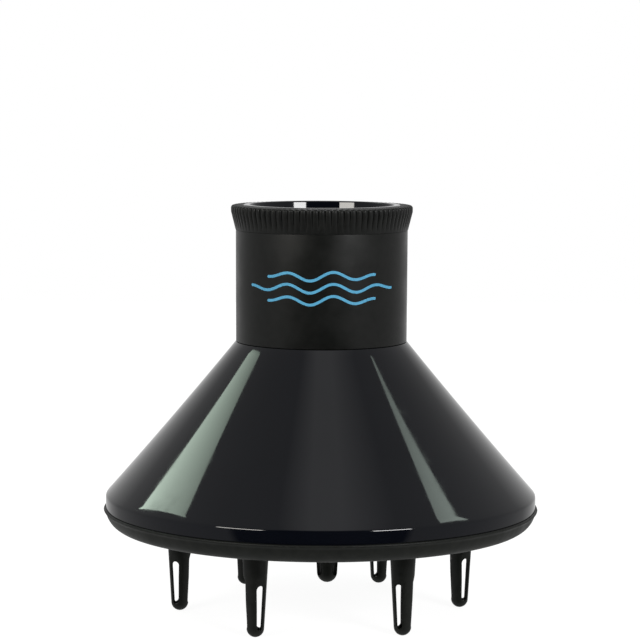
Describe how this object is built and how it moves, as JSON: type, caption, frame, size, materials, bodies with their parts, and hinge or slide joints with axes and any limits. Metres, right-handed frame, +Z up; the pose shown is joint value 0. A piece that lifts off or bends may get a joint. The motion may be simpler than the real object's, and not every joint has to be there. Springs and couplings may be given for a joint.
{
  "type": "hair dryer diffuser",
  "caption": "Conical hair dryer diffuser with slotted fingers and a knurled twist ring that closes gripping jaws on the dryer's nozzle.",
  "frame": {"origin": "under the centre of the bowl, on the plane the six outer finger tips stand on", "axes": "+Z up along the neck and out of the mouth that takes the dryer's nozzle, -Y towards the front"},
  "size_m": [0.1536, 0.1536, 0.1442],
  "materials": {
    "gloss_shell": "high-gloss black moulded plastic",
    "matte_face": "satin black moulded plastic",
    "neck_coat": "matte charcoal soft-touch coating",
    "knurl": "matte black moulded plastic",
    "gloss_ring": "high-gloss black moulded plastic",
    "housing": "dark grey glass-filled nylon",
    "screw_steel": "zinc-plated steel",
    "washer": "white PTFE sheet",
    "jaw_nylon": "black nylon",
    "pad_rubber": "dark grey silicone rubber"
  },
  "bodies": {
    "diffuser": {"cone_shell": "gloss_shell", "face_dish": "matte_face", "middle_finger": "matte_face", "finger_1": "matte_face", "finger_2": "matte_face", "finger_3": "matte_face", "finger_4": "matte_face", "finger_5": "matte_face", "finger_6": "matte_face", "neck_sleeve": "neck_coat", "jaw_housing": "housing", "housing_screws": "screw_steel", "friction_washer": "washer"},
    "twist_ring": {"cam_ring": "housing", "grip_ring": "knurl", "mouth_bezel": "gloss_ring"},
    "jaw_arm_1": {"jaw_1": "jaw_nylon", "jaw_pad_1": "pad_rubber"},
    "jaw_arm_2": {"jaw_2": "jaw_nylon", "jaw_pad_2": "pad_rubber"},
    "jaw_arm_3": {"jaw_3": "jaw_nylon", "jaw_pad_3": "pad_rubber"},
    "jaw_arm_4": {"jaw_4": "jaw_nylon", "jaw_pad_4": "pad_rubber"},
    "jaw_arm_5": {"jaw_5": "jaw_nylon", "jaw_pad_5": "pad_rubber"},
    "jaw_arm_6": {"jaw_6": "jaw_nylon", "jaw_pad_6": "pad_rubber"},
    "jaw_arm_7": {"jaw_7": "jaw_nylon", "jaw_pad_7": "pad_rubber"},
    "jaw_arm_8": {"jaw_8": "jaw_nylon", "jaw_pad_8": "pad_rubber"}
  },
  "joints": [
    {"name": "ring_twist", "type": "hinge", "parent": "diffuser", "child": "twist_ring", "pos_m": [0, 0, 0.138], "axis": [0, 0, -1], "range_deg": [0, 30]},
    {"name": "jaw_1_swing", "type": "hinge", "parent": "diffuser", "child": "jaw_arm_1", "pos_m": [0.0261, 0, 0.112], "axis": [0, 0, 1], "range_deg": [0, 20]},
    {"name": "jaw_2_swing", "type": "hinge", "parent": "diffuser", "child": "jaw_arm_2", "pos_m": [0.01845, 0.01845, 0.112], "axis": [0, 0, 1], "range_deg": [0, 20]},
    {"name": "jaw_3_swing", "type": "hinge", "parent": "diffuser", "child": "jaw_arm_3", "pos_m": [0, 0.0261, 0.112], "axis": [0, 0, 1], "range_deg": [0, 20]},
    {"name": "jaw_4_swing", "type": "hinge", "parent": "diffuser", "child": "jaw_arm_4", "pos_m": [-0.01845, 0.01845, 0.112], "axis": [0, 0, 1], "range_deg": [0, 20]},
    {"name": "jaw_5_swing", "type": "hinge", "parent": "diffuser", "child": "jaw_arm_5", "pos_m": [-0.0261, 0, 0.112], "axis": [0, 0, 1], "range_deg": [0, 20]},
    {"name": "jaw_6_swing", "type": "hinge", "parent": "diffuser", "child": "jaw_arm_6", "pos_m": [-0.01845, -0.01845, 0.112], "axis": [0, 0, 1], "range_deg": [0, 20]},
    {"name": "jaw_7_swing", "type": "hinge", "parent": "diffuser", "child": "jaw_arm_7", "pos_m": [0, -0.0261, 0.112], "axis": [0, 0, 1], "range_deg": [0, 20]},
    {"name": "jaw_8_swing", "type": "hinge", "parent": "diffuser", "child": "jaw_arm_8", "pos_m": [0.01845, -0.01845, 0.112], "axis": [0, 0, 1], "range_deg": [0, 20]}
  ],
  "couplings": [
    {"joint": "jaw_1_swing", "follows": "ring_twist", "ratio": 0.66667},
    {"joint": "jaw_2_swing", "follows": "ring_twist", "ratio": 0.66667},
    {"joint": "jaw_3_swing", "follows": "ring_twist", "ratio": 0.66667},
    {"joint": "jaw_4_swing", "follows": "ring_twist", "ratio": 0.66667},
    {"joint": "jaw_5_swing", "follows": "ring_twist", "ratio": 0.66667},
    {"joint": "jaw_6_swing", "follows": "ring_twist", "ratio": 0.66667},
    {"joint": "jaw_7_swing", "follows": "ring_twist", "ratio": 0.66667},
    {"joint": "jaw_8_swing", "follows": "ring_twist", "ratio": 0.66667}
  ]
}
